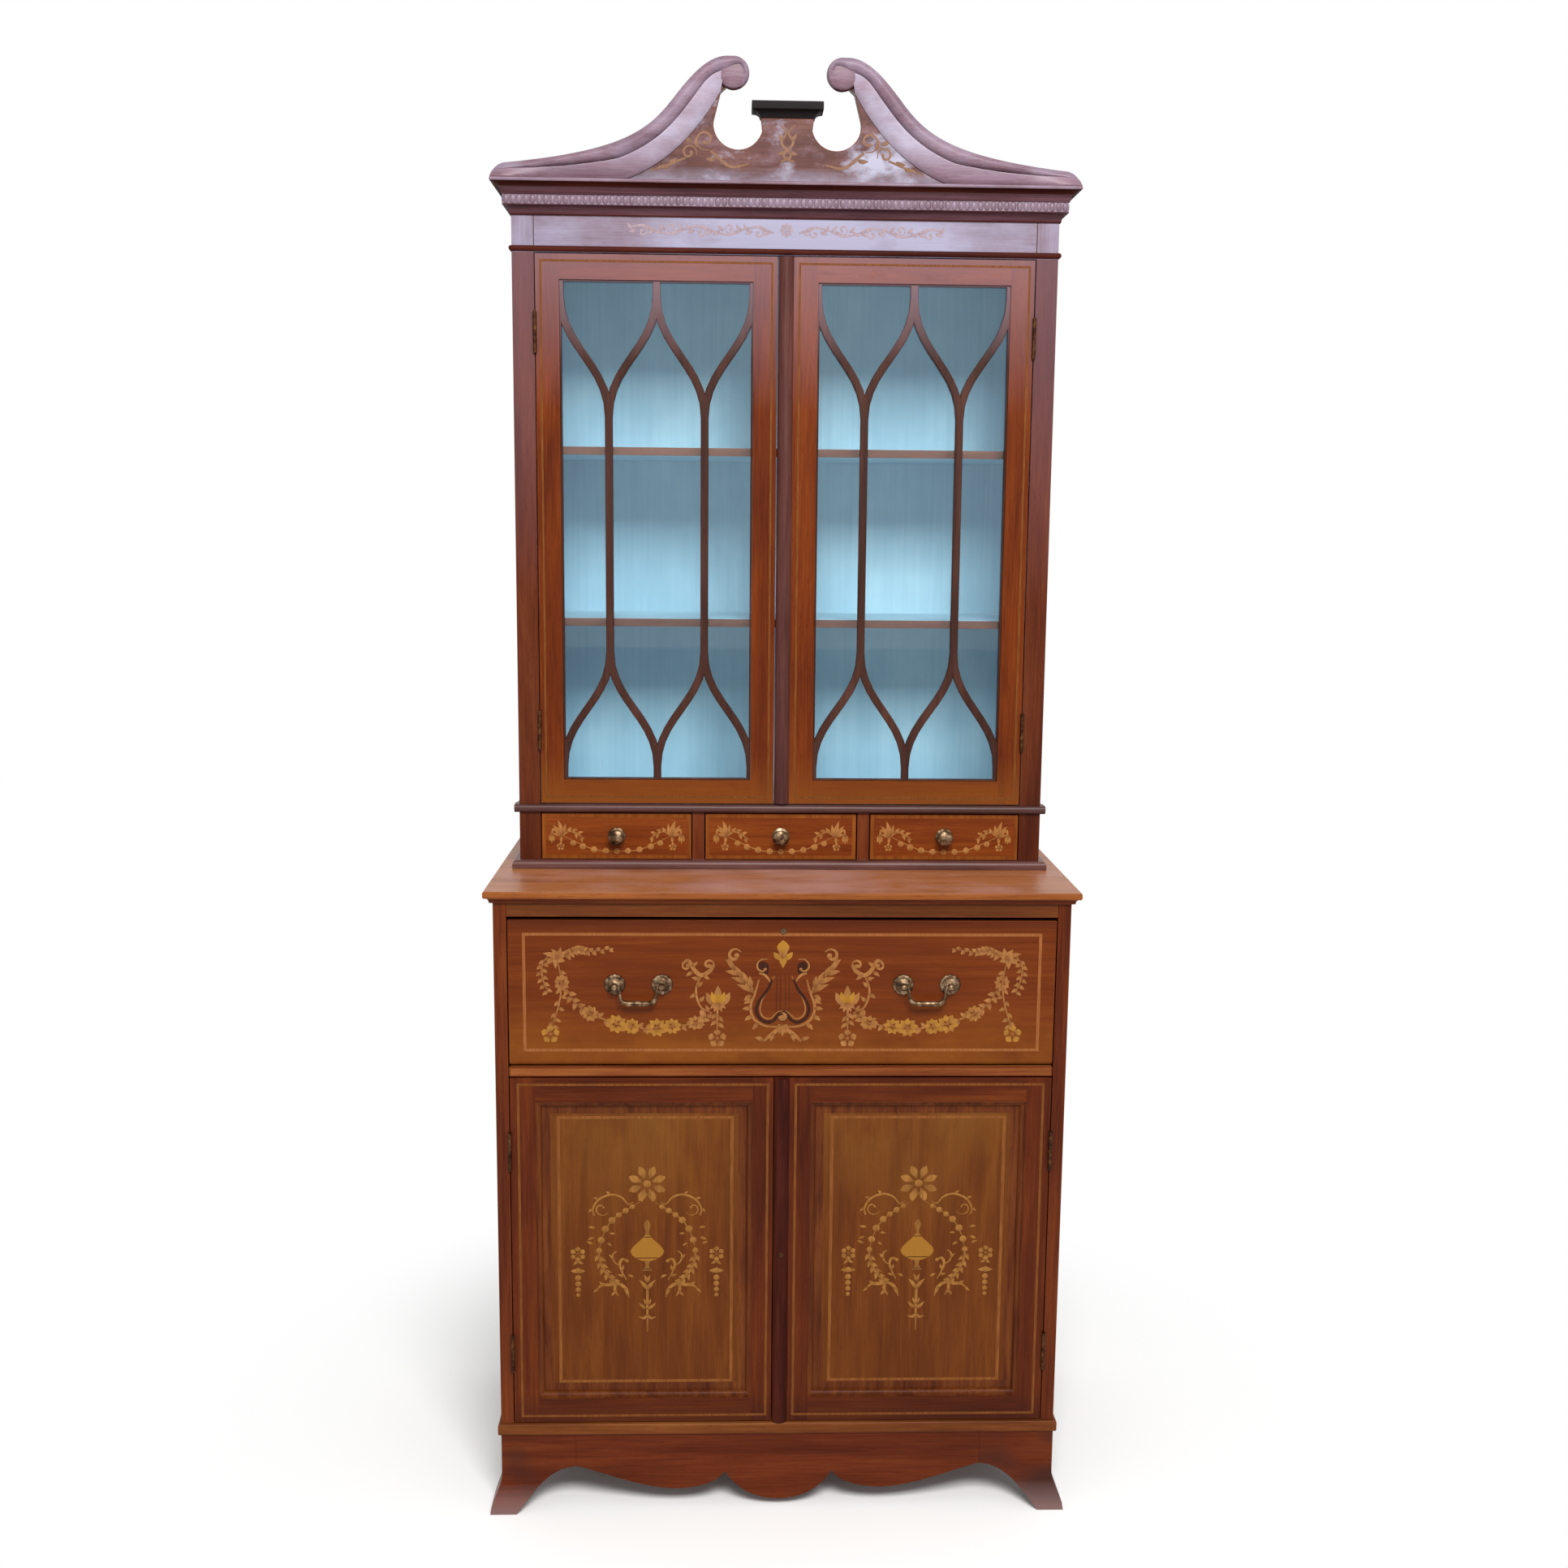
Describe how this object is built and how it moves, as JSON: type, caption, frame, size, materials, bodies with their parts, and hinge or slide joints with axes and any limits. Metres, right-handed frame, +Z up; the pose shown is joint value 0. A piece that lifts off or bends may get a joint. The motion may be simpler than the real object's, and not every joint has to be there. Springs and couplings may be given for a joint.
{
  "type": "secretary bookcase",
  "caption": "Inlaid mahogany secretary bookcase: glazed bookcase with swan-neck pediment and small drawers over a fall-front writing drawer, panelled cupboard and splayed feet.",
  "frame": {"origin": "on the floor under the middle of the piece's bounding box", "axes": "+Z up, the front faces -Y, +X to the right of someone who looks at the front"},
  "size_m": [0.951, 0.4945, 2.3423],
  "materials": {
    "mahogany": "french polish, worn",
    "veneer": "french polish, worn",
    "dark_mahogany": "french polish",
    "painted_wood": "matt sky-blue paint",
    "lining": "plain",
    "ebonised": "ebonised",
    "brass": "aged",
    "glass": "old sheet glass"
  },
  "bodies": {
    "case": {"base_side_left": "mahogany", "base_side_right": "mahogany", "base_back": "lining", "base_bottom": "mahogany", "dust_board": "mahogany", "top_rail": "mahogany", "desk_top": "veneer", "apron": "mahogany", "front_foot_left": "mahogany", "front_foot_right": "mahogany", "drawer_bed": "mahogany", "bookcase_side_left": "mahogany", "bookcase_side_right": "mahogany", "bookcase_back": "painted_wood", "waist_board": "mahogany", "face_frame": "mahogany", "bookcase_top": "painted_wood", "lower_shelf": "painted_wood", "upper_shelf": "painted_wood", "neck_moulding": "mahogany", "cornice": "dark_mahogany", "pediment_board": "mahogany", "swan_neck_left": "mahogany", "swan_neck_right": "mahogany", "pediment_cap": "ebonised", "glazed_hinge_left_lower": "brass", "glazed_hinge_left_upper": "brass", "glazed_hinge_right_lower": "brass", "glazed_hinge_right_upper": "brass", "cupboard_hinge_left_lower": "brass", "cupboard_hinge_left_upper": "brass", "cupboard_hinge_right_lower": "brass", "cupboard_hinge_right_upper": "brass"},
    "glazed_door_left": {"glazed_frame_left": "veneer", "glazing_bars_left": "dark_mahogany", "glass_left": "glass"},
    "glazed_door_right": {"glazed_frame_right": "veneer", "glazing_bars_right": "dark_mahogany", "glass_right": "glass"},
    "cupboard_door_left": {"cupboard_frame_left": "veneer", "cupboard_panel_left": "veneer"},
    "cupboard_door_right": {"cupboard_frame_right": "veneer", "cupboard_panel_right": "veneer"},
    "left_drawer": {"small_drawer_left": "mahogany", "small_knob_left": "brass"},
    "middle_drawer": {"small_drawer_middle": "mahogany", "small_knob_middle": "brass"},
    "right_drawer": {"small_drawer_right": "mahogany", "small_knob_right": "brass"},
    "writing_drawer": {"writing_tray": "lining", "pigeonhole_nest": "lining"},
    "fall": {"fall_front": "veneer", "quadrant_left": "brass", "quadrant_right": "brass", "handle_post_left_outer": "brass", "handle_post_left_inner": "brass", "handle_post_right_outer": "brass", "handle_post_right_inner": "brass"},
    "left_bail": {"bail_left": "brass"},
    "right_bail": {"bail_right": "brass"}
  },
  "joints": [
    {"name": "glazed_door_left_hinge", "type": "hinge", "parent": "case", "child": "glazed_door_left", "pos_m": [-0.39975, -0.05017, 1.158], "axis": [0, 0, -1], "range_deg": [0, 120]},
    {"name": "glazed_door_right_hinge", "type": "hinge", "parent": "case", "child": "glazed_door_right", "pos_m": [0.39975, -0.05017, 1.158], "axis": [0, 0, 1], "range_deg": [0, 120]},
    {"name": "cupboard_door_left_hinge", "type": "hinge", "parent": "case", "child": "cupboard_door_left", "pos_m": [-0.43575, -0.22817, 0.152], "axis": [0, 0, -1], "range_deg": [0, 120]},
    {"name": "cupboard_door_right_hinge", "type": "hinge", "parent": "case", "child": "cupboard_door_right", "pos_m": [0.43575, -0.22817, 0.152], "axis": [0, 0, 1], "range_deg": [0, 120]},
    {"name": "left_drawer_slide", "type": "slide", "parent": "case", "child": "left_drawer", "axis": [0, -1, 0], "range_m": [0, 0.2]},
    {"name": "middle_drawer_slide", "type": "slide", "parent": "case", "child": "middle_drawer", "axis": [0, -1, 0], "range_m": [0, 0.2]},
    {"name": "right_drawer_slide", "type": "slide", "parent": "case", "child": "right_drawer", "axis": [0, -1, 0], "range_m": [0, 0.2]},
    {"name": "writing_drawer_slide", "type": "slide", "parent": "case", "child": "writing_drawer", "axis": [0, -1, 0], "range_m": [0, 0.25]},
    {"name": "fall_hinge", "type": "hinge", "parent": "writing_drawer", "child": "fall", "pos_m": [0, -0.21468, 0.7735], "axis": [1, 0, 0], "range_deg": [0, 90]},
    {"name": "left_bail_swing", "type": "hinge", "parent": "fall", "child": "left_bail", "pos_m": [-0.229, -0.24133, 0.898], "axis": [-1, 0, 0], "range_deg": [0, 90]},
    {"name": "right_bail_swing", "type": "hinge", "parent": "fall", "child": "right_bail", "pos_m": [0.229, -0.24133, 0.898], "axis": [-1, 0, 0], "range_deg": [0, 90]}
  ]
}
